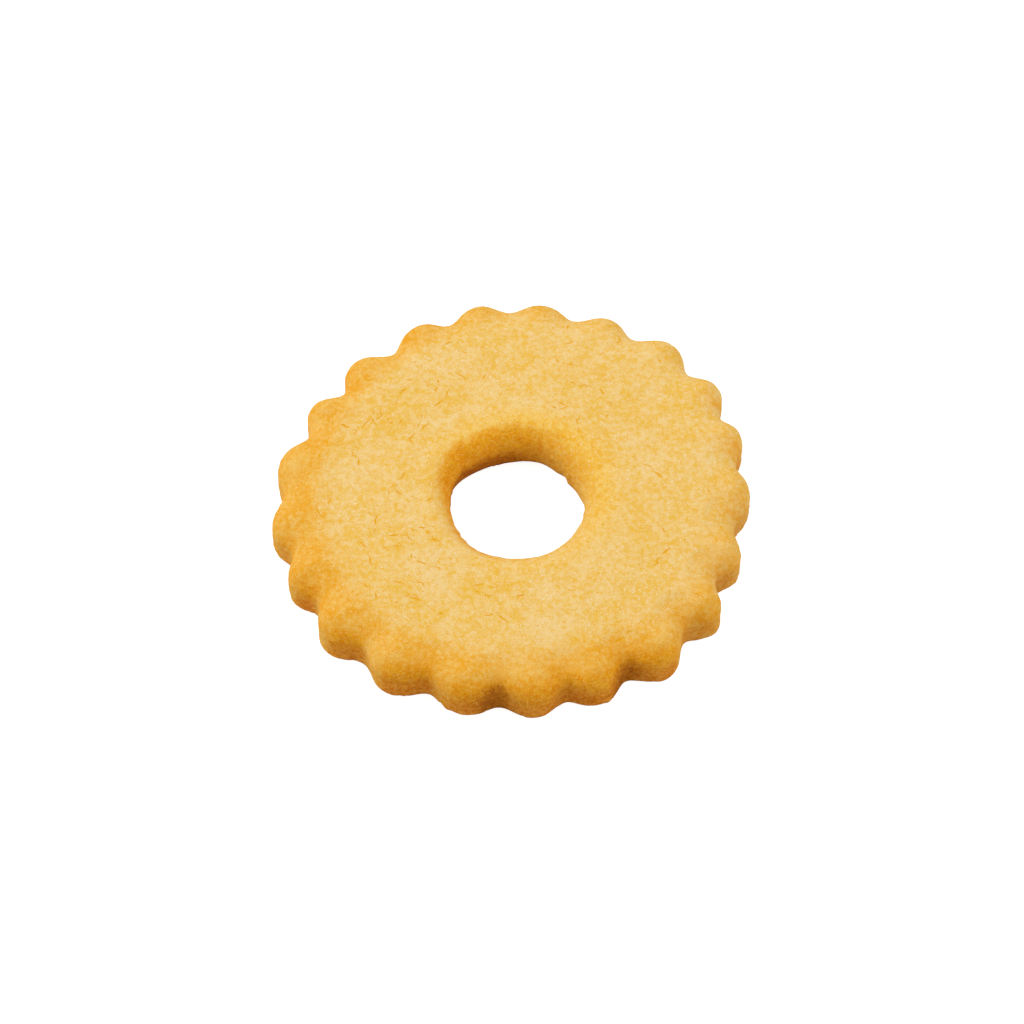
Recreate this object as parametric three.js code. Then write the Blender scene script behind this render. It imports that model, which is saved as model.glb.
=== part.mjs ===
// Flower shortbread: one ring of baked dough with a fluted rim and a round hole through its middle.
// Millimetres, +Z up. The flat base lies on z = 0 and the origin is the middle of the base.
import * as THREE from "three";
import { mergeVertices } from "three/addons/utils/BufferGeometryUtils.js";

// Driving dimensions of the ring.
const PETALS = 21;
const TIP_RADIUS = 32.5; // axis to the tip of a petal, before the hand-cut unevenness below
const FLUTE_DEPTH = 1.96; // from a petal's tip in to the valley beside it
const THICKNESS = 6.8;
const HOLE_RADIUS = 9.06; // at its waist, where the wall of the hole stands in furthest

// The edges, softened in the oven.
const LIP_ROUND = 3.2; // the rim's top edge, at the tip of a petal
const VALLEY_LIP = 0.85; // the same in a valley, as a share of that
const LIP_SLANT = 0.7; // how squarely it runs in from the outline: 0 is along the radius, 1 is square
const FOOT_ROUND = 0.4; // the rim's lower edge
const FOOT_SPREAD = 0.1; // how far the foot of the wall stands out past the wall's top
const HOLE_LIP_ROUND = 3.4; // the broad rounding where the top runs into the hole
const HOLE_FOOT_SPREAD = 0.6; // how much wider the hole is at the base than at its waist
const HOLE_CENTRE = new THREE.Vector2(0.23, -1.02); // the hole was punched a little off the middle

// The flutes: broad petals with narrower valleys between them.
const FIRST_PETAL = 15.9; // bearing of one petal's tip, in degrees from +X
const VALLEY_SHARPNESS = 0.12; // 0 gives petals and valleys alike
const FLUTE_REACH = 9; // how far in from the tips the top still follows the flutes
const VALLEY_DIP = 0.6; // how far the dough sank between two petals
const DIP_REACH = 6; // how far in from the tips that can be seen

// Unevenness, as waves round the ring: the number of lobes, the amount, and the bearing of a peak in degrees.
const OUTLINE_WAVES = [
  { lobes: 2, amount: 0.57, peak: 46.9 },
  { lobes: 3, amount: 0.39, peak: 66.6 },
  { lobes: 4, amount: 0.31, peak: 39.5 },
  { lobes: 5, amount: 0.29, peak: 30.7 },
  { lobes: 8, amount: 0.17, peak: 1.4 },
]; // mm along the radius
const PITCH_WAVES = [
  { lobes: 1, amount: 1.13, peak: 277.3 },
  { lobes: 2, amount: 0.66, peak: 2.9 },
  { lobes: 3, amount: 0.45, peak: 30.9 },
  { lobes: 4, amount: 0.58, peak: 88.3 },
  { lobes: 6, amount: 0.61, peak: 14.6 },
  { lobes: 8, amount: 0.42, peak: 6.6 },
]; // degrees that a petal is turned from its even place
const DEPTH_WAVES = [
  { lobes: 2, amount: 0.16, peak: 147.1 },
  { lobes: 4, amount: 0.37, peak: 47 },
]; // mm of flute depth
const HOLE_WAVES = [
  { lobes: 4, amount: 0.1, peak: 73.9 },
  { lobes: 5, amount: 0.13, peak: 7.6 },
]; // mm of the hole's radius

// The top's gentle rise and fall: waves across the ring, by length and height in mm and bearing in degrees.
const TOP_SWELLS = [
  { length: 34, height: 0.1, bearing: 25 },
  { length: 21, height: 0.07, bearing: 140 },
];

// How finely the round stretches are cut into flats.
const STEPS_PER_PETAL = 12;
const LIP_STEPS = 5;
const TOP_STEPS = 6;
const WALL_STEPS = 2;

const { degToRad: radians, smoothstep } = THREE.MathUtils;

// The sum of some waves at a bearing.
function waves(terms, bearing) {
  return terms.reduce((sum, w) => sum + w.amount * Math.cos(w.lobes * (bearing - radians(w.peak))), 0);
}

// How far round its own petal a bearing is: a tip is at a whole number of turns.
function petalPhase(bearing) {
  return PETALS * (bearing - radians(FIRST_PETAL + waves(PITCH_WAVES, bearing)));
}

// The rim's radius at a bearing: petals and valleys, unevenly cut.
function rimRadius(bearing) {
  const phase = petalPhase(bearing);
  const flute = Math.cos(phase) - VALLEY_SHARPNESS * Math.cos(2 * phase);
  const depth = FLUTE_DEPTH + waves(DEPTH_WAVES, bearing);
  return TIP_RADIUS - (depth / 2) * (1 - flute) + waves(OUTLINE_WAVES, bearing);
}

// The rim's outward direction at a bearing, as its shares along the radius and round the ring.
function rimNormal(bearing) {
  const step = radians(0.05);
  const slope = (rimRadius(bearing + step) - rimRadius(bearing - step)) / (2 * step);
  return new THREE.Vector2(rimRadius(bearing), -slope).normalize();
}

// How much the top rises or falls at a place.
function topSwell(x, y) {
  return TOP_SWELLS.reduce((sum, s) => {
    const along = x * Math.cos(radians(s.bearing)) + y * Math.sin(radians(s.bearing));
    return sum + s.height * Math.sin((2 * Math.PI * along) / s.length);
  }, 0);
}

// A quarter of a circle about (r, z), from one bearing to another in degrees.
function quarter(r, z, radius, from, to) {
  return new THREE.EllipseCurve(r, z, radius, radius, radians(from), radians(to), to < from);
}

// The ring's section as (radius, height), once round: base, outer wall, top, wall of the hole.
function ringSection() {
  const at = (r, z) => new THREE.Vector2(r, z);
  const holeFoot = at(HOLE_RADIUS + HOLE_FOOT_SPREAD, 0);
  const wallFoot = at(TIP_RADIUS + FOOT_SPREAD, FOOT_ROUND);
  const wallTop = at(TIP_RADIUS, THICKNESS - LIP_ROUND);
  const rimEdge = at(TIP_RADIUS - LIP_ROUND, THICKNESS);
  const holeEdge = at(HOLE_RADIUS + HOLE_LIP_ROUND, THICKNESS);
  const holeWaist = at(HOLE_RADIUS, THICKNESS - HOLE_LIP_ROUND);
  const holeBend = at(HOLE_RADIUS, holeWaist.y / 2);
  const stretches = [
    [new THREE.LineCurve(holeFoot, at(wallFoot.x - FOOT_ROUND, 0)), 1],
    [quarter(wallFoot.x - FOOT_ROUND, FOOT_ROUND, FOOT_ROUND, -90, 0), WALL_STEPS],
    [new THREE.LineCurve(wallFoot, wallTop), WALL_STEPS],
    [quarter(rimEdge.x, wallTop.y, LIP_ROUND, 0, 90), LIP_STEPS],
    [new THREE.LineCurve(rimEdge, holeEdge), TOP_STEPS],
    [quarter(holeEdge.x, holeWaist.y, HOLE_LIP_ROUND, 90, 180), LIP_STEPS],
    [new THREE.QuadraticBezierCurve(holeWaist, holeBend, holeFoot), WALL_STEPS],
  ];
  // Each stretch starts where the one before ends, so its last point is left to the next.
  const points = stretches.flatMap(([curve, steps]) => curve.getPoints(steps).slice(0, -1));
  return [...points, points[0].clone()];
}

// The ring is turned as a plain ring, then fluted, with its hole moved off the middle and its top swollen.
// The rounded edge runs in nearly square to the outline, so towards the top petals narrow and valleys widen.
// In the valleys it is sharper, and the dough has sunk there.
function shortbreadGeometry() {
  const turned = new THREE.LatheGeometry(ringSection(), PETALS * STEPS_PER_PETAL).rotateX(Math.PI / 2);
  turned.deleteAttribute("normal");
  turned.deleteAttribute("uv");
  const geometry = mergeVertices(turned);
  const position = geometry.getAttribute("position");
  for (let i = 0; i < position.count; i++) {
    const radius = Math.hypot(position.getX(i), position.getY(i));
    const bearing = Math.atan2(position.getY(i), position.getX(i));
    const rimShare = smoothstep(radius, TIP_RADIUS - FLUTE_REACH, TIP_RADIUS - LIP_ROUND);
    const holeShare = 1 - smoothstep(radius, HOLE_RADIUS + HOLE_LIP_ROUND, TIP_RADIUS - FLUTE_REACH);
    const valley = (1 - Math.cos(petalPhase(bearing))) / 2;
    const sharper = (1 - VALLEY_LIP) * valley;
    const rounding = Math.min(TIP_RADIUS - radius, LIP_ROUND);
    const slant = LIP_SLANT * rounding * (1 - sharper);
    const normal = rimNormal(bearing);
    const fluting = rimRadius(bearing) - TIP_RADIUS + rounding * sharper + slant * (1 - normal.x);
    const along = radius + rimShare * fluting + holeShare * waves(HOLE_WAVES, bearing);
    const across = -rimShare * slant * normal.y;
    const x = along * Math.cos(bearing) - across * Math.sin(bearing) + holeShare * HOLE_CENTRE.x;
    const y = along * Math.sin(bearing) + across * Math.cos(bearing) + holeShare * HOLE_CENTRE.y;
    const z = position.getZ(i);
    const raised = rimShare * sharper * Math.min(THICKNESS - z, (z * LIP_ROUND) / (THICKNESS - LIP_ROUND));
    const sunk = VALLEY_DIP * valley * smoothstep(radius, TIP_RADIUS - DIP_REACH, TIP_RADIUS - LIP_ROUND / 2);
    position.setXYZ(i, x, y, z + raised + (z / THICKNESS) * (topSwell(x, y) - sunk));
  }
  geometry.computeBoundingBox();
  const middle = geometry.boundingBox.getCenter(new THREE.Vector3());
  geometry.translate(-middle.x, -middle.y, 0);
  geometry.computeVertexNormals();
  return geometry;
}

const bakedDough = new THREE.MeshStandardMaterial({ color: 0xf0c771, roughness: 0.85, metalness: 0 });

const cookie = new THREE.Mesh(shortbreadGeometry(), bakedDough);
cookie.name = "cookie";

const shortbread = new THREE.Group();
shortbread.add(cookie);

export default shortbread;
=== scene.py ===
# %% [markdown]
# # A flower shortbread, from dough to table
# The biscuit is one ring of baked dough. A fluted cutter gave it its petals, a small round cutter its hole,
# and the oven softened the edges, opened fine cracks in the top and toasted the petals. The solid that comes
# with the part holds its true size and place, so it is loaded first, and the surface is modelled anew around
# the same sizes.

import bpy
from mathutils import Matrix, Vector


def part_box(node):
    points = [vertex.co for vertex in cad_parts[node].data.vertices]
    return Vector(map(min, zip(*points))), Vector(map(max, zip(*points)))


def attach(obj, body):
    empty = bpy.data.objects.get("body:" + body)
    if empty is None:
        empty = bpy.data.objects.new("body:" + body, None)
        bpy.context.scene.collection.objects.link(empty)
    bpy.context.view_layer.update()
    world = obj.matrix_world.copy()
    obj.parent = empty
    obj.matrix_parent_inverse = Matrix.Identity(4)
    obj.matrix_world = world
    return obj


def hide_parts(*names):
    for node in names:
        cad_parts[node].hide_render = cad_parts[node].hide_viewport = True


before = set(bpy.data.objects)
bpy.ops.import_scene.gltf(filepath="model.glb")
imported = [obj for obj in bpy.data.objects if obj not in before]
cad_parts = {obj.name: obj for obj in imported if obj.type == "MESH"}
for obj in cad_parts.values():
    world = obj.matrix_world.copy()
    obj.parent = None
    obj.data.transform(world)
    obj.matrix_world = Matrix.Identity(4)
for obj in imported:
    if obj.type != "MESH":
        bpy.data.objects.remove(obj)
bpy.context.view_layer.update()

# %% Import what the lesson uses
import math
import random

import bpy
import numpy as np
from mathutils import Color, Vector, kdtree

print("this is Blender", bpy.app.version_string)

# %% [markdown]
# ## The sizes
# Everything follows from a few sizes in millimetres, as a baker would give them: how wide the cutter is, how
# thick the dough is rolled, how wide the hole. Blender works in metres here, so each is turned into metres
# once.

# %% Driving sizes
MM = 0.001
PETALS = 21
TIP_RADIUS = 32.5 * MM  # axis to the tip of a petal
FLUTE_DEPTH = 1.96 * MM  # from a petal's tip in to the valley beside it
THICKNESS = 6.8 * MM
HOLE_RADIUS = 9.06 * MM  # at its waist
LIP_ROUND = 3.2 * MM  # the rim's soft upper edge, at the tip of a petal
VALLEY_LIP = 0.85  # the same in a valley, as a share of that
LIP_SLANT = 0.7  # how squarely it runs in from the outline: 0 is along the radius, 1 is square
HOLE_LIP_ROUND = 3.4 * MM  # and the rounding into the hole
FOOT_ROUND = 0.4 * MM  # the rim's lower edge
FOOT_SPREAD = 0.1 * MM  # how far the foot of the rim stands out
HOLE_FOOT_SPREAD = 0.6 * MM  # how much the hole widens towards the base
print("a ring", round(2 * TIP_RADIUS / MM), "mm across and", THICKNESS / MM, "mm thick")

# %% [markdown]
# ## The section of the ring
# A ring like this could start from a torus or a cylinder, but its section isn't round and its two upper edges
# are rounded differently. So the section is drawn first: a flat plane stands on edge beside the axis, as wide
# as the ring's arm, and its corners are rounded one at a time with a vertex bevel.

# %% Stand the section beside the axis
bpy.ops.object.select_all(action="DESELECT")
section_middle = ((HOLE_RADIUS + TIP_RADIUS) / 2, 0, THICKNESS / 2)
bpy.ops.mesh.primitive_plane_add(size=1, location=section_middle, rotation=(math.pi / 2, 0, 0))
dough = bpy.context.object
dough.name = dough.data.name = "shortbread"
dough.scale = (TIP_RADIUS - HOLE_RADIUS, THICKNESS, 1)
bpy.ops.object.transform_apply(location=True, rotation=True, scale=True)
print("the section has", len(dough.data.vertices), "corners")

# %% A way to pick a corner by its place
SAME_PLACE = 0.01 * MM  # two places nearer than this are one


def pick(place):
    """In edit mode, select only the section's point at this (radius, height)."""
    bpy.ops.object.mode_set(mode="OBJECT")
    for point in dough.data.vertices:
        point.select = math.dist((point.co.x, point.co.z), place) < SAME_PLACE
    for part in (*dough.data.edges, *dough.data.polygons):
        part.select = False
    bpy.ops.object.mode_set(mode="EDIT")
    bpy.ops.mesh.select_mode(type="VERT")


print("corners are picked to within", SAME_PLACE / MM, "mm")

# %% Spread the foot and round the corners
FINE_ROW = 0.13 * MM  # the spacing wanted along the section where it shows


def round_corner(place, amount):
    """Bevel one corner of the section, in steps that are about one fine row long."""
    pick(place)
    bpy.ops.mesh.bevel(offset=amount, segments=round(amount * math.pi / 2 / FINE_ROW), affect="VERTICES")


pick((TIP_RADIUS, 0))
bpy.ops.transform.translate(value=(FOOT_SPREAD, 0, 0))
round_corner((TIP_RADIUS + FOOT_SPREAD, 0), FOOT_ROUND)
round_corner((TIP_RADIUS, THICKNESS), LIP_ROUND)
round_corner((HOLE_RADIUS, THICKNESS), HOLE_LIP_ROUND)
bpy.ops.mesh.select_all(action="SELECT")
bpy.ops.mesh.delete(type="ONLY_FACE")
bpy.ops.object.mode_set(mode="OBJECT")
print("the rounded section has", len(dough.data.vertices), "points")

# %% [markdown]
# ## Even rows
# Relief can only be as fine as the mesh, so each straight stretch of the section is cut into rows. The base
# lies on the table and shows little, so it gets wider rows than the top and the walls.

# %% Cut the straight stretches into rows
BASE_ROW = 0.7 * MM
LONG_STRETCH = 3 * FINE_ROW  # what is longer than this is cut


def ends_of(edge):
    """The two ends of an edge of the section."""
    return [dough.data.vertices[i].co for i in edge.vertices]


def middle_of(edge):
    """The (radius, height) of an edge's middle."""
    a, b = ends_of(edge)
    return (a.x + b.x) / 2, (a.z + b.z) / 2


bpy.ops.object.mode_set(mode="EDIT")
bpy.ops.mesh.select_mode(type="EDGE")
bpy.ops.object.mode_set(mode="OBJECT")
cuts = {}
for edge in dough.data.edges:
    a, b = ends_of(edge)
    if (a - b).length > LONG_STRETCH:
        row = BASE_ROW if max(a.z, b.z) < FOOT_ROUND / 2 else FINE_ROW
        cuts[middle_of(edge)] = round((a - b).length / row) - 1
for stretch, count in cuts.items():
    bpy.ops.object.mode_set(mode="OBJECT")
    for edge in dough.data.edges:
        edge.select = math.dist(middle_of(edge), stretch) < SAME_PLACE
    bpy.ops.object.mode_set(mode="EDIT")
    bpy.ops.mesh.subdivide(number_cuts=count)
bpy.ops.object.mode_set(mode="OBJECT")
print("the section now has", len(dough.data.vertices), "rows")

# %% [markdown]
# ## One turn about the axis
# The section is swept once round the axis, as on a potter's wheel. Spin does that in edit mode, but a
# thousand fine steps take it minutes. A Screw modifier with no rise makes the same turn at once. The last
# copy lands on the first, so the doubles are merged, and the faces are turned outwards, because a turn can
# leave a shape inside out.

# %% Turn the ring
STEPS_PER_PETAL = 50
turn = dough.modifiers.new("turn", "SCREW")
turn.axis = "Z"
turn.angle = 2 * math.pi
turn.steps = turn.render_steps = PETALS * STEPS_PER_PETAL
bpy.ops.object.modifier_apply(modifier="turn")
bpy.ops.object.mode_set(mode="EDIT")
bpy.ops.mesh.select_all(action="SELECT")
bpy.ops.mesh.remove_doubles(threshold=0.001 * MM)
bpy.ops.mesh.normals_make_consistent(inside=False)
bpy.ops.object.mode_set(mode="OBJECT")
print("the plain ring has", len(dough.data.polygons), "faces")

# %% [markdown]
# ## Petals
# No operator knows this outline: petals that are broad where the valleys between them are narrow, each a
# little turned, longer or shallower than the next. A sum of slow waves round the ring says it in few
# numbers, so here the points are moved by formula, with the waves that the solid has. Each wave is its number
# of lobes, its amount and the bearing of a peak in degrees.

# %% The waves round the ring
OUTLINE_WAVES = (
    (2, 0.57, 46.9),
    (3, 0.39, 66.6),
    (4, 0.31, 39.5),
    (5, 0.29, 30.7),
    (8, 0.17, 1.4),
)  # mm of radius
PITCH_WAVES = (
    (1, 1.13, 277.3),
    (2, 0.66, 2.9),
    (3, 0.45, 30.9),
    (4, 0.58, 88.3),
    (6, 0.61, 14.6),
    (8, 0.42, 6.6),
)  # degrees that a petal is turned from its even place
DEPTH_WAVES = ((2, 0.16, 147.1), (4, 0.37, 47))  # mm of flute depth
HOLE_WAVES = ((4, 0.1, 73.9), (5, 0.13, 7.6))  # mm of the hole's radius


def waves(terms, bearing):
    """The sum of some waves at each bearing."""
    return sum(amount * np.cos(lobes * (bearing - math.radians(peak))) for lobes, amount, peak in terms)


all_round = np.linspace(-math.pi, math.pi, 360)
print("the hole strays from round by", round(waves(HOLE_WAVES, all_round).max(), 2), "mm")

# %% The outline of the rim
FIRST_PETAL = 15.9  # bearing of one petal's tip, in degrees
VALLEY_SHARPNESS = 0.12  # 0 gives petals and valleys alike


def petal_phase(bearing):
    """How far round its own petal each bearing is: a tip is at a whole number of turns."""
    return PETALS * (bearing - np.radians(FIRST_PETAL + waves(PITCH_WAVES, bearing)))


def rim_radius(bearing):
    """The rim's radius at each bearing, unevenly cut."""
    flute = np.cos(petal_phase(bearing)) - VALLEY_SHARPNESS * np.cos(2 * petal_phase(bearing))
    depth = FLUTE_DEPTH + waves(DEPTH_WAVES, bearing) * MM
    return TIP_RADIUS - depth / 2 * (1 - flute) + waves(OUTLINE_WAVES, bearing) * MM


def rim_normal(bearing, step=0.001):
    """The rim's outward direction at each bearing, as its shares along the radius and round the ring."""
    slope = (rim_radius(bearing + step) - rim_radius(bearing - step)) / (2 * step)
    length = np.hypot(rim_radius(bearing), slope)
    return rim_radius(bearing) / length, -slope / length


outline = rim_radius(all_round) / MM
print("the rim is", round(outline.min(), 1), "to", round(outline.max(), 1), "mm from the axis")


# %% Soft steps
def ease(value, low, high):
    """0 below low, 1 above high, and a soft step between."""
    share = np.clip((value - low) / (high - low), 0, 1)
    return share * share * (3 - 2 * share)


def grows(distance, near, far):
    """0 up to near millimetres, 1 past far, and a soft step between."""
    return ease(distance, near * MM, far * MM)


def fades(distance, near, far):
    """1 up to near millimetres, 0 past far, and a soft step between."""
    return 1 - grows(distance, near, far)


def between(low, high, share):
    """What lies between low and high, at this share of the way."""
    return low + (high - low) * share


print("a quarter of the way along, a soft step is at", round(float(ease(0.25, 0, 1)), 2))


# %% Read and write points
def points_of(piece):
    """The piece's points as an array of rows x, y, z."""
    places = np.empty(len(piece.data.vertices) * 3)
    piece.data.vertices.foreach_get("co", places)
    return places.reshape(-1, 3)


def put_points(piece, places):
    """Move the piece's points to these places."""
    piece.data.vertices.foreach_set("co", places.ravel())
    piece.data.update()


places = points_of(dough)
print("the plain ring has", len(places), "points")

# %% [markdown]
# ## From a plain ring to a cut one
# The rim takes the outline of the petals. Its soft edge runs in nearly square to that outline, so towards
# the top the petals narrow and the valleys widen. In the valleys the edge is sharper and the dough has sunk.
# The hole was punched a little off the middle, and the cutters tore the lower edges. All this could be
# sculpted by hand, but formulas keep the surface on the solid and give the same ring in every run.

# %% What belongs to the rim and what to the hole
FLUTE_REACH = 9 * MM  # how far in from the tips the top still follows the flutes
radius, height = np.hypot(places[:, 0], places[:, 1]), places[:, 2].copy()
bearing = np.arctan2(places[:, 1], places[:, 0])
rim_share = ease(radius, TIP_RADIUS - FLUTE_REACH, TIP_RADIUS - LIP_ROUND)
hole_share = 1 - ease(radius, HOLE_RADIUS + HOLE_LIP_ROUND, TIP_RADIUS - FLUTE_REACH)
valley = 0.5 - 0.5 * np.cos(petal_phase(bearing))  # 0 at the tip of a petal, 1 between two
print(int((rim_share > hole_share).sum()), "points belong more to the rim than to the hole")

# %% Flute the rim
sharper = (1 - VALLEY_LIP) * valley  # how much less round the edge is
rounding = np.minimum(TIP_RADIUS - radius, LIP_ROUND)
slant = LIP_SLANT * rounding * (1 - sharper)
outward, sideways = rim_normal(bearing)
along = radius + rim_share * (rim_radius(bearing) - TIP_RADIUS + rounding * sharper + slant * (1 - outward))
along += hole_share * waves(HOLE_WAVES, bearing) * MM
across = -rim_share * slant * sideways
print("points move sideways by up to", round(across.max() / MM, 2), "mm")

# %% Tear the lower edges
tear = random.Random(11)
HOLE_WAIST = THICKNESS - HOLE_LIP_ROUND  # the height where the hole is narrowest
HOLE_TEAR, RIM_TEAR = 0.3 * MM, 0.12 * MM  # how far the lower edges are torn in and out
HOLE_FACETS = 0.12 * MM  # and how far the wall of the hole strays from round
HOLE_FOOT_CORNERS, HOLE_WALL_CORNERS, RIM_FOOT_CORNERS = 26, 34, 260  # how many times each line turns


def torn(bearing, corners):
    """A ragged line round the ring, from -1 to 1, straight between corners at random bearings."""
    at = np.sort([tear.uniform(-math.pi, math.pi) for _ in range(corners)])
    reach = np.array([tear.uniform(-1, 1) for _ in range(corners)])
    # Two corners that nearly meet would make a step, so one of them is left out.
    apart = np.diff(at, prepend=-2 * math.pi) > math.pi / corners / 4
    return np.interp(bearing, at[apart], reach[apart], period=2 * math.pi)


hole_foot = np.clip(1 - height / HOLE_WAIST, 0, 1) ** 2 * fades(radius - HOLE_RADIUS, 0, 3)
along += hole_foot * (HOLE_FOOT_SPREAD + HOLE_TEAR * torn(bearing, HOLE_FOOT_CORNERS))
hole_wall = fades(radius - HOLE_RADIUS, 0, 2) * (1 - ease(height, HOLE_WAIST, THICKNESS))
along += hole_wall * HOLE_FACETS * torn(bearing, HOLE_WALL_CORNERS)
rim_foot = fades(height, 0, 1.4) * fades(TIP_RADIUS - radius, 0, 3)
along += rim_foot * RIM_TEAR * torn(bearing, RIM_FOOT_CORNERS)
print("torn:", int((hole_foot > 0).sum()), "points of the hole and", int((rim_foot > 0).sum()), "of the rim")

# %% Move the hole, sink the valleys and swell the top
HOLE_CENTRE = (0.23 * MM, -1.02 * MM)
VALLEY_DIP = 0.6 * MM  # how far the dough sank between two petals
DIP_REACH = 6 * MM  # how far in from the tips that can be seen
TOP_SWELLS = ((34 * MM, 0.1 * MM, 25), (21 * MM, 0.07 * MM, 140))  # length, rise, bearing in degrees
places[:, 0] = along * np.cos(bearing) - across * np.sin(bearing) + hole_share * HOLE_CENTRE[0]
places[:, 1] = along * np.sin(bearing) + across * np.cos(bearing) + hole_share * HOLE_CENTRE[1]
tall = height / THICKNESS
raised = np.minimum(THICKNESS - height, height * LIP_ROUND / (THICKNESS - LIP_ROUND))
places[:, 2] += rim_share * sharper * raised
near_tips = ease(radius, TIP_RADIUS - DIP_REACH, TIP_RADIUS - LIP_ROUND / 2)
places[:, 2] -= tall * VALLEY_DIP * valley * near_tips
for length, rise, heading in TOP_SWELLS:
    direction = np.array((math.cos(math.radians(heading)), math.sin(math.radians(heading))))
    places[:, 2] += tall * rise * np.sin(2 * math.pi * (places[:, :2] @ direction) / length)
print("the top is", round(places[:, 2].max() / MM, 2), "mm high")

# %% Lay the ring over the solid
node_low, node_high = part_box("cookie")
ring_axis = (node_low + node_high).xy / 2 - Vector((places[:, :2].min(0) + places[:, :2].max(0)) / 2)
places[:, :2] += ring_axis
put_points(dough, places)
print("the ring's axis is at", [round(x / MM, 2) for x in ring_axis], "mm")

# %% [markdown]
# ## Crumb
# A baked top is never smooth: the dough sinks and swells by a tenth of a millimetre over a few millimetres,
# and the grains of sugar and flour stand up as a fine crumb. Both are the same kind of relief at two scales,
# so each is one Displace modifier with a cloud texture. A vertex group keeps the base flat, so that the ring
# still lies on the table.

# %% A weight for each point
WEIGHT_STEPS = 40  # fine enough not to show


def weigh(name, weights):
    """Give the dough a vertex group with these weights."""
    group = dough.vertex_groups.new(name=name)
    levels = np.rint(np.clip(weights, 0, 1) * WEIGHT_STEPS).astype(int)
    for level in range(1, WEIGHT_STEPS + 1):
        group.add(np.flatnonzero(levels == level).tolist(), level / WEIGHT_STEPS, "REPLACE")


above_base = grows(places[:, 2], 0.1, 0.9)
weigh("above_base", above_base)
print("points that may move:", int((above_base > 0).sum()))


# %% Displace by a cloud texture
def roughen(name, size, height, group, depth=2, space=None):
    """Raise and sink the dough by a noise of this size. Space is an empty that stretches the noise."""
    texture = bpy.data.textures.new(name, "CLOUDS")
    texture.noise_scale = size
    texture.noise_depth = depth
    texture.noise_basis = "ORIGINAL_PERLIN"
    relief = dough.modifiers.new(name, "DISPLACE")
    relief.texture = texture
    relief.texture_coords = "OBJECT" if space else "LOCAL"
    relief.texture_coords_object = space
    relief.strength = height
    relief.vertex_group = group
    bpy.ops.object.modifier_apply(modifier=name)


roughen("dough_swell", size=3.5 * MM, height=0.3 * MM, group="above_base")
roughen("crumb", size=0.6 * MM, height=0.095 * MM, group="above_base", depth=3)
print("highest point", round(points_of(dough)[:, 2].max() / MM, 3), "mm")

# %% [markdown]
# ## Cut walls
# The cutter drags along the walls and leaves fine level layers there. That is the same noise once more, but
# stretched along the level. An empty with a flattened scale does the stretching, and it is removed when the
# relief is applied.

# %% Layer the walls
LAYER_STRETCH = (1.25, 1.25, 0.9)
places = points_of(dough)
wall_share = np.minimum(grows(places[:, 2], 0.2, 0.8), fades(places[:, 2], 3.5, 6.2))
weigh("walls", wall_share)
bpy.ops.object.select_all(action="DESELECT")
bpy.ops.object.empty_add(location=(0, 0, 0))
stretcher = bpy.context.object
stretcher.scale = LAYER_STRETCH
bpy.ops.object.select_all(action="DESELECT")
dough.select_set(True)
bpy.context.view_layer.objects.active = dough
bpy.context.view_layer.update()
roughen("wall_layers", size=0.55 * MM, height=0.24 * MM, group="walls", depth=3, space=stretcher)
bpy.data.objects.remove(stretcher)
print("points in the walls:", int((wall_share > 0).sum()))

# %% [markdown]
# ## Cracks and pinholes
# As the ring bakes its top dries and opens in short cracks. They run round the ring more than across it, and
# they come in broken lines: a few short pieces with gaps between them. Each line is a seeded walk, so it is
# the same in every run. The points near a walk get a weight, and one more Displace pushes them in.

# %% One piece of a crack
walk = random.Random(52)
CRACK_STEP = 0.06 * MM
CRACK_WIDTHS = 0.06, 0.12  # mm, from the middle to the side
CRACK_SHARES = 0.3, 1.0  # of the full depth
KINK_CHANCE = 0.07  # at each step, that the crack turns
FIRST_KINK = 0.5  # radians that it is turned at its start, one way or the other
KINKS = 0.3, 1.1  # and that it turns at a kink
UNREST = 0.35  # radians that each step strays
RAGGED = 0.6, 1.2  # what the width is multiplied by at each step
END_WIDTH = 0.4  # the share of the width that is left at the ends
BLUNTNESS = 0.6  # below 1 a crack keeps its width and depth nearly to its ends
marks = []  # x, y, half width, share of the full depth


def crack_piece(radius, bearing, length, drift):
    """One unbroken crack: short runs with kinks between them, widest and deepest in its middle."""
    steps = max(4, round(length / CRACK_STEP))
    width = walk.uniform(*CRACK_WIDTHS) * MM
    depth = walk.uniform(*CRACK_SHARES)
    kink = walk.gauss(0, FIRST_KINK)
    for step in range(steps):
        if walk.random() < KINK_CHANCE:
            kink = walk.choice((-1, 1)) * walk.uniform(*KINKS)
        heading = drift + kink + walk.gauss(0, UNREST)
        radius += CRACK_STEP * math.sin(heading)
        bearing += CRACK_STEP * math.cos(heading) / radius
        taper = math.sin(math.pi * (step + 0.5) / steps) ** BLUNTNESS
        half_width = width * between(END_WIDTH, 1, taper) * walk.uniform(*RAGGED)
        marks.append((radius * math.cos(bearing), radius * math.sin(bearing), half_width, depth * taper))
    return radius, bearing


print("a crack is walked in steps of", CRACK_STEP / MM, "mm")

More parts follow.
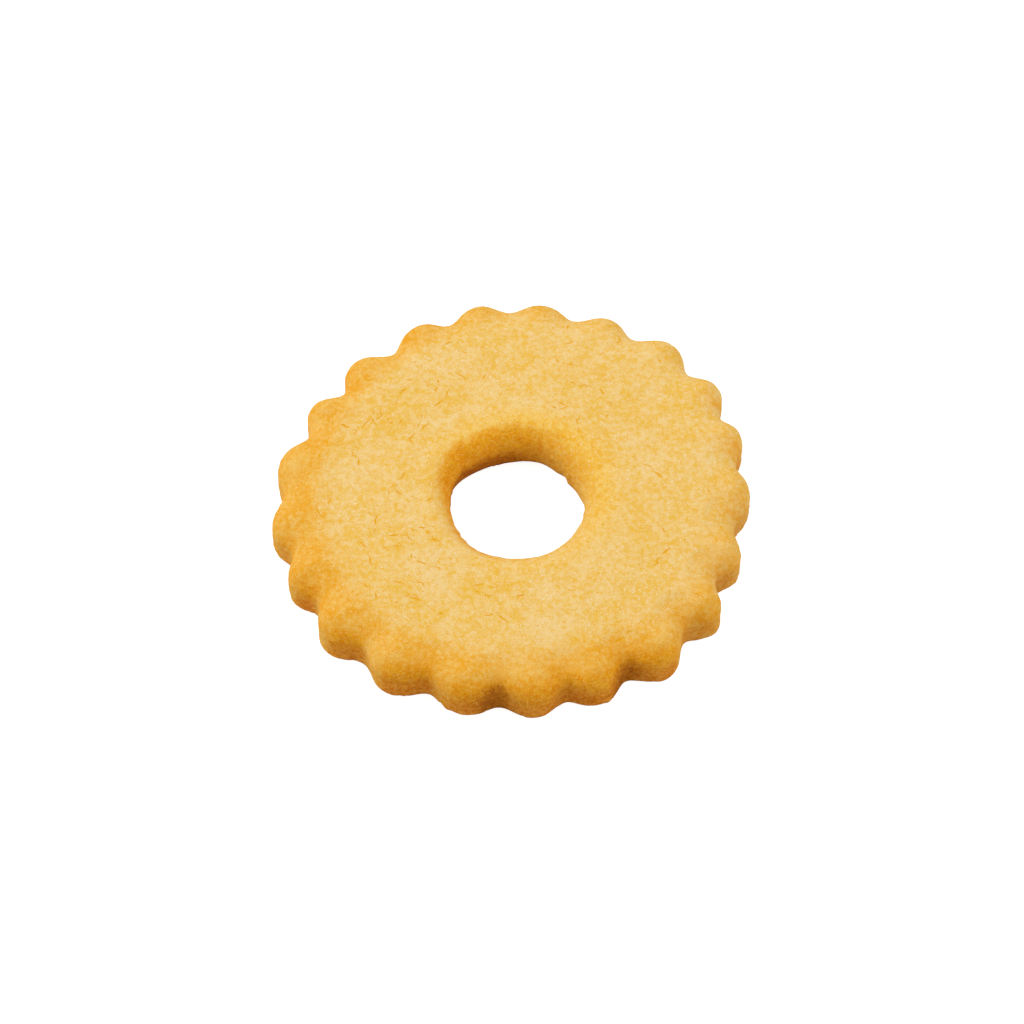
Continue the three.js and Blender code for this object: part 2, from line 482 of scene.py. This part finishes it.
# %% Walk the cracks
CRACK_LINES = 70
CRACK_BAND = 14, 29.5  # mm from the axis, where a line may start
DRIEST_BEARING, DRIEST_SPREAD = math.radians(190), 0.8  # half of the cracks are round about here
DRIFT = 0.9  # radians that a line strays from the round
PIECES = 1, 3  # in a line
PIECE_LENGTHS, PIECE_GAPS = (0.6, 2.6), (0.1, 0.8)  # mm
SIDESTEP = 0.1  # mm between one piece and the next
for _ in range(CRACK_LINES):
    crack_radius = walk.uniform(*CRACK_BAND) * MM
    anywhere, driest = walk.uniform(0, 2 * math.pi), walk.gauss(DRIEST_BEARING, DRIEST_SPREAD)
    crack_bearing = walk.choice((anywhere, driest))
    drift = walk.gauss(0, DRIFT)
    for _ in range(walk.randint(*PIECES)):
        length = walk.uniform(*PIECE_LENGTHS) * MM
        crack_radius, crack_bearing = crack_piece(crack_radius, crack_bearing, length, drift)
        gap = walk.uniform(*PIECE_GAPS) * MM
        crack_bearing += gap * math.cos(drift) / crack_radius
        crack_radius += gap * math.sin(drift) + walk.gauss(0, SIDESTEP) * MM
print("the cracks are", len(marks), "steps long")

# %% Prick the pinholes
PINHOLES = 60
PIN_BAND = 12.5, 30.5  # mm from the axis
PIN_SIZES, PIN_SHARES = (0.07, 0.13), (0.3, 0.9)  # radius in mm, and share of the full depth
for _ in range(PINHOLES):
    pin_radius = math.sqrt(walk.uniform(*(edge**2 for edge in PIN_BAND))) * MM
    pin_bearing = walk.uniform(0, 2 * math.pi)
    size = walk.uniform(*PIN_SIZES) * MM
    place = (pin_radius * math.cos(pin_bearing), pin_radius * math.sin(pin_bearing))
    marks.append((*place, size, walk.uniform(*PIN_SHARES)))
mark_tree = kdtree.KDTree(len(marks))
for index, (x, y, _, _) in enumerate(marks):
    mark_tree.insert((x, y, 0), index)
mark_tree.balance()
print("with", PINHOLES, "pinholes")

# %% Find the points in a crack
CRACKS_REACH = 1.2 * MM  # how far below the top face there are any


def crack_shares(places, margin=0.0):
    """How deep each point of the top lies in a crack or a pinhole, as a share of the full depth."""
    shares = np.zeros(len(places))
    for index in np.flatnonzero(places[:, 2] > THICKNESS - CRACKS_REACH):
        _, mark, distance = mark_tree.find((places[index, 0], places[index, 1], 0))
        _, _, width, depth = marks[mark]
        if distance < width + margin:
            shares[index] = depth * (1 - (distance / (width + margin)) ** 2)
    return shares


near_crack = crack_shares(points_of(dough), margin=0.15 * MM) > 0
print("points in a crack or beside one:", int(near_crack.sum()))

# %% Cut the faces along the cracks in four
corners = np.empty(len(dough.data.loops), int)
dough.data.loops.foreach_get("vertex_index", corners)
touched = near_crack[corners].reshape(-1, 4).any(1)
for part in (dough.data.vertices, dough.data.edges):
    part.foreach_set("select", np.zeros(len(part), bool))
dough.data.polygons.foreach_set("select", touched)
bpy.ops.object.mode_set(mode="EDIT")
bpy.ops.mesh.select_mode(type="FACE")
bpy.ops.mesh.subdivide(number_cuts=1)
bpy.ops.object.mode_set(mode="OBJECT")
print(int(touched.sum()), "faces cut, so that a crack can be narrower than a row of them")

# %% Push the cracks in
CRACK_DEPTH = 0.05 * MM
weigh("cracks", crack_shares(points_of(dough)))
opening = dough.modifiers.new("cracks", "DISPLACE")
opening.strength = -CRACK_DEPTH
opening.mid_level = 0
opening.vertex_group = "cracks"
bpy.ops.object.modifier_apply(modifier="cracks")
print("the deepest crack goes", CRACK_DEPTH / MM, "mm in")

# %% [markdown]
# ## A mesh of a fair size
# The turn left far more faces than the shape needs, above all near the hole and on the flat base. Decimate
# takes them out where the surface is plainest and keeps the cracks.

# %% Thin the mesh
TRIANGLE_BUDGET = 196_000


def triangle_count():
    """How many triangles the dough's faces come to."""
    return sum(len(face.vertices) - 2 for face in dough.data.polygons)


print("triangles before:", triangle_count())
thinning = dough.modifiers.new("thinning", "DECIMATE")
thinning.ratio = TRIANGLE_BUDGET / triangle_count()
bpy.ops.object.modifier_apply(modifier="thinning")
dough.vertex_groups.clear()
places = points_of(dough)
places[:, 2] = np.maximum(places[:, 2], 0)
put_points(dough, places)
bpy.ops.object.shade_smooth()
print("and after:", triangle_count())

# %% [markdown]
# ## Where it is toasted, and where shade is painted
# The petals stick out into the hot air, so they brown first, and this ring stood with its left side to the
# heat.
# The edge of the hole is toasted a little too, and on the front side the toast is partly painted shade. The
# walls that face the front are caramel near the top and brown lower down, partly from baking and partly as
# painted shade, and so are the walls of the hole that face right; the walls at the back are brown only
# towards their foot. The valleys between the petals and the lower hole hold the darkest pockets, which are
# painted shade. Those places could be painted by hand, but they follow the ring's own shape, so they are
# worked out for each point and kept as attributes that the material can read.


# %% Keep a number for each point
def keep(name, values):
    """Store one number for each point of the dough."""
    attribute = dough.data.attributes.new(name, "FLOAT", "POINT")
    attribute.data.foreach_set("value", values.astype(np.float32))
    print(name, "mean", round(float(values.mean()), 3))


keep("crack", crack_shares(places, margin=0.03 * MM))

# %% Where each point is
from_axis = places[:, :2] - np.array(ring_axis)
distance = np.hypot(from_axis[:, 0], from_axis[:, 1])
bearings = np.arctan2(from_axis[:, 1], from_axis[:, 0])
inside_rim = rim_radius(bearings) - distance
inside_tips = TIP_RADIUS + waves(OUTLINE_WAVES, bearings) * MM - distance
from_hole = from_axis - np.array(HOLE_CENTRE)
outside_hole = np.hypot(from_hole[:, 0], from_hole[:, 1]) - HOLE_RADIUS
in_hole = fades(outside_hole, 1.5, 4)
petal = 0.5 + 0.5 * np.cos(petal_phase(bearings))  # 1 at the tip of a petal, 0 between two
sunk = VALLEY_DIP * (1 - petal) * (1 - ease(inside_tips, LIP_ROUND / 2, DIP_REACH))
drop = THICKNESS - places[:, 2] * (1 + sunk / THICKNESS)  # how far below the top face
print("points in the hole:", int((in_hole > 0).sum()))

# %% Where each point faces
NEARLY_LEVEL = 0.25  # a surface that leans out less than this hardly faces any side
facing = np.empty(len(places) * 3)
dough.data.vertex_normals.foreach_get("vector", facing)
facing = facing.reshape(-1, 3)
lean = np.hypot(facing[:, 0], facing[:, 1])
level = facing[:, :2] / np.maximum(lean, NEARLY_LEVEL)[:, None]
to_right = level[:, 0]


def towards(heading):
    """1 on the ring's side at this bearing in degrees, 0 on the side across from it."""
    return 0.5 + 0.5 * np.cos(bearings - math.radians(heading))


print("points that lean out:", int((lean > NEARLY_LEVEL).sum()))

# %% Toast the petals and the edge of the hole
HOT_BEARING = 187  # degrees: the side that browned most
WARM_AND_SHADED_BEARING = 295  # and one at the front, toasted a little and darkened with painted shade
HOLE_HOT_BEARING = 55  # the side of the hole that did
ALL_ROUND, ON_PETALS, ON_HOT_SIDE = 0.12, 0.15, 0.95  # what each adds at the rim
HOT_BAND, WARM_AND_SHADED_BAND = 0.6, 0.52  # and what the two sides add further in
hot_side = towards(HOT_BEARING)
rim_toast = fades(inside_tips, 1, 7.5) * (ALL_ROUND + ON_PETALS * petal + ON_HOT_SIDE * hot_side)
hot_toast = fades(inside_tips, 3, 12) * hot_side**4
# On the front side this toast is partly painted shade.
warm_toast_and_shade = fades(inside_tips, 3, 11) * towards(WARM_AND_SHADED_BEARING) ** 3
keep("toast_and_shade", np.clip(rim_toast + HOT_BAND * hot_toast + WARM_AND_SHADED_BAND * warm_toast_and_shade, 0, 1))
keep("hole_toast", fades(outside_hole, 2.4, 6.4) * between(0.05, 1, towards(HOLE_HOT_BEARING)))

# %% Brown the walls
HEAT_AND_SHADE = np.array((0.3, -0.954))  # towards the front, away from the lights: the walls that face it are browned, partly by baking and partly as painted shade
SQUARELY = 0.3, 0.85  # from the wall that just faces it to the one that takes all of it
PALE_BEARING, PALER = 341, 0.5  # where the walls are paler, and by how much
SIDE_GLOW, SIDE_TO_LEFT = 0.16, 0.12  # on the rim's other walls, and what facing left adds
BACK_GLOW = 0.65  # what browned the foot of the walls at the back
HOLE_BASE_BROWN_AND_SHADE, HOLE_SHADE_FACING_RIGHT, HOLE_TO_HEAT_AND_SHADE = 0.5, 0.45, 0.6  # in the hole all round, and what facing right or the front adds: partly browning, partly painted shade
MOST_TO_RIGHT, MOST_HOLE_BROWN_AND_SHADE = 0.4, 1.2  # and where that ends
BROWN_FROM, BROWN_TO = -0.2, 1.3  # mm below the top face
EARLY, LATE = 0.5, -0.3  # mm higher up that the hole starts to darken, facing the front and facing away
to_heat_and_shade = np.clip(level @ HEAT_AND_SHADE, 0, 1)
side_glow = SIDE_GLOW - SIDE_TO_LEFT * to_right
pale_side = PALER * ease(towards(PALE_BEARING), 0.9, 0.985)
rim_brown_and_shade = between(side_glow, 1, ease(to_heat_and_shade, *SQUARELY)) * (1 - pale_side)
hole_right_shade = HOLE_SHADE_FACING_RIGHT * np.minimum(to_right, MOST_TO_RIGHT)
hole_brown_and_shade = np.clip(HOLE_BASE_BROWN_AND_SHADE + hole_right_shade + HOLE_TO_HEAT_AND_SHADE * to_heat_and_shade, 0, MOST_HOLE_BROWN_AND_SHADE)
early = in_hole * between(LATE, EARLY, to_heat_and_shade)
back_glow = BACK_GLOW * ease(level @ -HEAT_AND_SHADE, *SQUARELY) * grows(drop, 1.5, 4.5)
# Baked brown down the walls, with painted shade on the walls that face the front and, in the hole, on those
# that face right.
front_brown_and_shade = between(rim_brown_and_shade, hole_brown_and_shade, in_hole) * grows(drop, BROWN_FROM - early, BROWN_TO - early)
keep("browned_and_shaded", back_glow + front_brown_and_shade)
keep("caramel", fades(drop, 1.5, 5))
keep("in_hole", in_hole)

# %% Paint shade into the pockets
POCKET_SHADE_BEARING = 274  # where the painted shade in the valleys between the petals is darkest
POCKET_SHADE_WAVES = ((11, 0.36, 266),)  # and every other one is darker
POCKET_SHADE_MEAN = 0.68
HOLE_POCKET_SHADE, HOLE_POCKET_SHADE_TO_RIGHT = 0.42, 1.2  # painted shade low in the hole, and what facing right adds
SHADED_FLANKS = np.array((0.5, -0.866))  # where the flanks of the valleys with the darkest painted shade face, away from the stronger light
shaded_flank = (1 - petal) ** 0.8 * fades(inside_rim, 1.2, 4.5) * ease(level @ SHADED_FLANKS, 0.1, 0.92)
deep_shade_side = between(0.25, 1, ease(towards(POCKET_SHADE_BEARING), 0.915, 0.985))
every_other = POCKET_SHADE_MEAN + waves(POCKET_SHADE_WAVES, bearings)
hole_shade_side = np.clip(HOLE_POCKET_SHADE + HOLE_POCKET_SHADE_TO_RIGHT * to_right, 0, 1)
low_hole_shade = in_hole * grows(drop, 1.4, 5.6) * hole_shade_side
keep("pocket_shade", np.clip(deep_shade_side * every_other * shaded_flank * grows(drop, -0.5, 3.1) + low_hole_shade, 0, 1))

# %% [markdown]
# ## The baked finish
# Shortbread is matte. Its colour is a mottle of pale grains in golden crumb, with paler and darker flecks. It
# turns orange where it is toasted and brown down its walls, partly from baking and partly as painted shade.
# The walls have specks, and the fine creases between their layers are dark lines of painted shade. The cracks
# are a deeper gold, partly painted shade in them, the pockets in the valleys and the hole are painted shade,
# and the dark foot is partly painted contact shadow. A painted picture could be wrapped round it, but that
# would blur up close and stretch at the walls. So all of it is procedural, on Object coordinates in metres,
# and a grain has its real size from every side.

# %% A material and short ways to add to it
finish = bpy.data.materials.new("shortbread_crust")
finish.use_nodes = True
tree = finish.node_tree
tree.nodes.clear()


def add(kind, **settings):
    """Add a shader node and set its own settings."""
    node = tree.nodes.new("ShaderNode" + kind)
    for name, value in settings.items():
        setattr(node, name, value)
    return node


def feed(socket, value):
    """Link a socket, or set a plain value on it."""
    if isinstance(value, bpy.types.NodeSocket):
        tree.links.new(value, socket)
    else:
        socket.default_value = value


def seen(code):
    """A colour as it is seen, such as "F0C771", turned into the light it stands for, with full alpha."""
    red, green, blue = (int(code[i : i + 2], 16) / 255 for i in (0, 2, 4))
    return (*Color((red, green, blue)).from_srgb_to_scene_linear(), 1)


print("made", finish.name)


# %% Arithmetic
def work(operation, a, b):
    """Arithmetic on two values."""
    node = add("Math", operation=operation)
    feed(node.inputs[0], a)
    feed(node.inputs[1], b)
    return node.outputs[0]


def plus(a, b):
    """The sum of two values."""
    return work("ADD", a, b)


def minus(a, b):
    """The first value less the second."""
    return work("SUBTRACT", a, b)


def times(a, b):
    """The product of two values."""
    return work("MULTIPLY", a, b)


print("nodes so far:", len(tree.nodes))

# %% Noise, steps and blends
where = add("TexCoord").outputs["Object"]


def noise(size, detail=2.0, roughness=0.5, distortion=0.0, at=where):
    """A noise from 0 to 1 with grains of about this size."""
    node = add("TexNoise")
    feed(node.inputs["Vector"], at)
    feed(node.inputs["Scale"], 1 / size)
    feed(node.inputs["Detail"], detail)
    feed(node.inputs["Roughness"], roughness)
    feed(node.inputs["Distortion"], distortion)
    return node.outputs["Fac"]


def step(value, low, high):
    """A soft step from 0 at low to 1 at high."""
    node = add("MapRange", interpolation_type="SMOOTHSTEP")
    feed(node.inputs["Value"], value)
    feed(node.inputs["From Min"], low)
    feed(node.inputs["From Max"], high)
    return node.outputs["Result"]


def blend(share, a, b):
    """One colour turning into another as the share goes from 0 to 1."""
    node = add("Mix", data_type="RGBA")
    feed(node.inputs[0], share)
    feed(node.inputs[6], a)  # a Mix node has sockets for each kind of data, and colours are at 6, 7 and 2
    feed(node.inputs[7], b)
    return node.outputs[2]


def stored(name):
    """One of the numbers kept on the dough's points."""
    return add("Attribute", attribute_name=name).outputs["Fac"]


print("nodes so far:", len(tree.nodes))

# %% Mottled crumb
coarse_grain = times(noise(0.7 * MM, detail=4, roughness=0.65), 0.55)
fine_grain = times(noise(0.3 * MM, detail=3, roughness=0.6), 0.25)
small_patches = times(noise(3 * MM, detail=2), 0.2)
large_patches = times(noise(8 * MM, detail=1), 0.12)
mottle = step(plus(plus(coarse_grain, fine_grain), plus(small_patches, large_patches)), 0.45, 0.67)


def mottled(deep, pale):
    """Two colours as they are seen, mixed by the mottle of the crumb."""
    return blend(mottle, seen(deep), seen(pale))


crumb = mottled("EEBB46", "F2CF8A")
print("nodes so far:", len(tree.nodes))

# %% Toasted petals and flecks
FLECKS = 0.75  # how much of a fleck's own colour shows
FLECK, TOASTED_FLECK = seen("F7E6C2"), seen("F8D696")
GOLDEN_FLECK, TOASTED_GOLDEN_FLECK = seen("E8A62A"), seen("E29212")
blotches = noise(1.1 * MM, detail=4)
# The toast is partly painted shade on the front side.
toast_and_shade_share = step(times(stored("toast_and_shade"), plus(0.6, times(blotches, 0.7))), 0.0, 0.9)
toasted_crumb = mottled("ECA624", "F1BF5E")
hole_gold = mottled("F1B22C", "F6CA60")
toasted = blend(stored("hole_toast"), blend(toast_and_shade_share, crumb, toasted_crumb), hole_gold)
flecks = times(step(noise(0.21 * MM, detail=1), 0.62, 0.72), FLECKS)
pale_flecked = blend(flecks, toasted, blend(toast_and_shade_share, FLECK, TOASTED_FLECK))
golden_flecks = times(step(noise(0.3 * MM, detail=1, distortion=0.6), 0.63, 0.74), FLECKS)
flecked = blend(golden_flecks, pale_flecked, blend(toast_and_shade_share, GOLDEN_FLECK, TOASTED_GOLDEN_FLECK))
print("nodes so far:", len(tree.nodes))

# %% Brown walls, painted shade in the pockets and a dark foot with painted contact shadow
# The dark foot is partly the baked lower edge and partly painted contact shadow.
FOOT_AND_CONTACT_SHADOW = seen("A8601E")
wall_brown = mottled("DE7A00", "F6A432")
caramel = mottled("EE9400", "F9B01E")
hole_brown = mottled("EA9600", "F4B224")
# Painted shade for the valleys between the petals and low in the hole.
painted_pocket_shade = mottled("A65804", "CE801A")
brown = blend(stored("in_hole"), blend(stored("caramel"), wall_brown, caramel), hole_brown)
# The walls' brown is partly baking and partly painted shade.
brown_and_shade_share = step(plus(stored("browned_and_shaded"), times(minus(blotches, 0.5), 0.95)), 0.0, 1.1)
walls_browned_and_shaded = blend(brown_and_shade_share, flecked, brown)
pocket_shade_share = step(times(stored("pocket_shade"), plus(0.6, noise(0.8 * MM, detail=3))), 0.0, 0.9)
pocket_shaded = blend(pocket_shade_share, walls_browned_and_shaded, painted_pocket_shade)
split_place = add("SeparateXYZ")
feed(split_place.inputs[0], where)
uneven_height = plus(split_place.outputs["Z"], times(noise(0.9 * MM, detail=3), 0.6 * MM))
footed_and_shadowed = blend(step(uneven_height, 0.7 * MM, 0.2 * MM), pocket_shaded, FOOT_AND_CONTACT_SHADOW)
print("nodes so far:", len(tree.nodes))

# %% Specks in the walls
PALE_SPECK, DARK_SPECK = seen("FAC470"), seen("B46208")
speck = noise(0.27 * MM, detail=3, roughness=0.75)
out_of_pocket_shade = times(brown_and_shade_share, minus(1, times(pocket_shade_share, 0.7)))
pale_specked = blend(times(step(speck, 0.5, 0.74), out_of_pocket_shade), footed_and_shadowed, PALE_SPECK)
specked = blend(times(step(speck, 0.5, 0.2), times(brown_and_shade_share, 0.6)), pale_specked, DARK_SPECK)
print("nodes so far:", len(tree.nodes))

# %% Painted shade in the creases between the layers of the walls
# The creases are dark lines of painted shade where the layers meet.
CREASE_SHADE = seen("BC6C04")
LAYERS = (1, 1, 5)  # squeezes the noise into layers
layered = add("Mapping")
feed(layered.inputs["Vector"], where)
feed(layered.inputs["Scale"], LAYERS)
layers = noise(2.6 * MM, detail=2, at=layered.outputs["Vector"])
from_crease = work("ABSOLUTE", minus(layers, 0.5), 0)
here_and_there = step(noise(2.2 * MM, detail=1), 0.5, 0.64)
high_up = times(stored("caramel"), minus(1, times(stored("in_hole"), 0.35)))
low_down = times(brown_and_shade_share, minus(1, high_up))
in_walls = times(low_down, plus(0.35, times(stored("in_hole"), 0.5)))
crease_shade_share = times(step(from_crease, 0.06, 0.0), times(here_and_there, in_walls))
crease_shaded = blend(crease_shade_share, specked, CREASE_SHADE)
print("nodes so far:", len(tree.nodes))

# %% Cracks, with painted shade in them, and the shader
# The deeper gold of the cracks is partly their own colour and partly painted shade in them.
CRACK_AND_SHADE = seen("EAA400")
cracked_and_shaded = blend(step(stored("crack"), 0.0, 0.55), crease_shaded, CRACK_AND_SHADE)
surface = add("BsdfPrincipled")
feed(surface.inputs["Base Color"], cracked_and_shaded)
feed(surface.inputs["Roughness"], plus(0.68, times(noise(0.4 * MM), 0.25)))
feed(surface.inputs["Specular IOR Level"], 0.06)
bump = add("Bump")
feed(bump.inputs["Height"], noise(0.26 * MM, detail=3, roughness=0.6))
feed(bump.inputs["Strength"], 0.2)
feed(bump.inputs["Distance"], 0.1 * MM)
feed(surface.inputs["Normal"], bump.outputs["Normal"])
result = add("OutputMaterial")
feed(result.inputs["Surface"], surface.outputs["BSDF"])
dough.data.materials.clear()
dough.data.materials.append(finish)
print("the finish has", len(tree.nodes), "nodes")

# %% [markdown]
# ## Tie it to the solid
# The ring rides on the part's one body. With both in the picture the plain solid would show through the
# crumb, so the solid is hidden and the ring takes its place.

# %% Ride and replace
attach(dough, "root")
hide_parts("cookie")
print(dough.name, "is tied to the solid")

# %% [markdown]
# ## Table, light and camera
# The ring lies on a white table between two large soft lights, the stronger one at its left, in a white room.
# A table of pure white would throw too much light back up at the walls. So it is a pale grey that glows
# for the camera alone: it looks white and its shadow faint, while the ring gets only what a grey table gives
# back.

# %% The table
bpy.ops.object.select_all(action="DESELECT")
bpy.ops.mesh.primitive_plane_add(size=3)
table = bpy.context.object
table.name = "table"
white = bpy.data.materials.new("white_table")
white.use_nodes = True
tree = white.node_tree  # from here on the short ways add to the table's material
paper = tree.nodes["Principled BSDF"]
feed(paper.inputs["Base Color"], (0.63, 0.63, 0.63, 1))
feed(paper.inputs["Roughness"], 0.9)
feed(paper.inputs["Specular IOR Level"], 0)
feed(paper.inputs["Emission Color"], (1, 1, 1, 1))
feed(paper.inputs["Emission Strength"], times(add("LightPath").outputs["Is Camera Ray"], 0.8))
table.data.materials.append(white)
print("the table is", table.dimensions.x, "metres wide")

# %% The light
room = bpy.data.worlds.new("white_room")
room.use_nodes = True
room_light = room.node_tree.nodes["Background"].inputs
room_light["Color"].default_value = (1, 1, 1, 1)
room_light["Strength"].default_value = 0.545
bpy.context.scene.world = room


def soft_light(name, place, energy):
    """A square soft light at this place that shines on the ring."""
    bpy.ops.object.light_add(type="AREA", location=place)
    light = bpy.context.object
    light.name = name
    light.rotation_euler = Vector(place).to_track_quat("Z", "Y").to_euler()
    light.data.size = 0.5
    light.data.energy = energy
    print(name, "is", round(Vector(place).length, 2), "metres away")


soft_light("left_light", (-0.45, 0.15, 0.4), 2.14)
soft_light("right_light", (0.46, 0.02, 0.33), 1.14)
bpy.context.scene.view_settings.view_transform = "Standard"

# %% The camera
LENS, SENSOR = 104.14, 36  # mm
ELEVATION = math.radians(56)
DISTANCE = 0.4
AIM_HEIGHT = 3.2 * MM  # about half way up the ring
AIM = Vector((*ring_axis, AIM_HEIGHT))
ASIDE, ABOVE = -0.45 * MM, -1.45 * MM  # the picture's middle, from the ring's axis
up = Vector((0, math.sin(ELEVATION), math.cos(ELEVATION)))
back = Vector((0, -math.cos(ELEVATION), math.sin(ELEVATION)))
camera_place = AIM + Vector((ASIDE, 0, 0)) + up * ABOVE + back * DISTANCE
bpy.ops.object.camera_add(location=camera_place, rotation=(math.pi / 2 - ELEVATION, 0, 0))
camera = bpy.context.object
camera.data.lens = LENS
camera.data.sensor_width = SENSOR
bpy.context.scene.camera = camera
print("the camera is at", [round(x, 3) for x in camera_place], "metres")
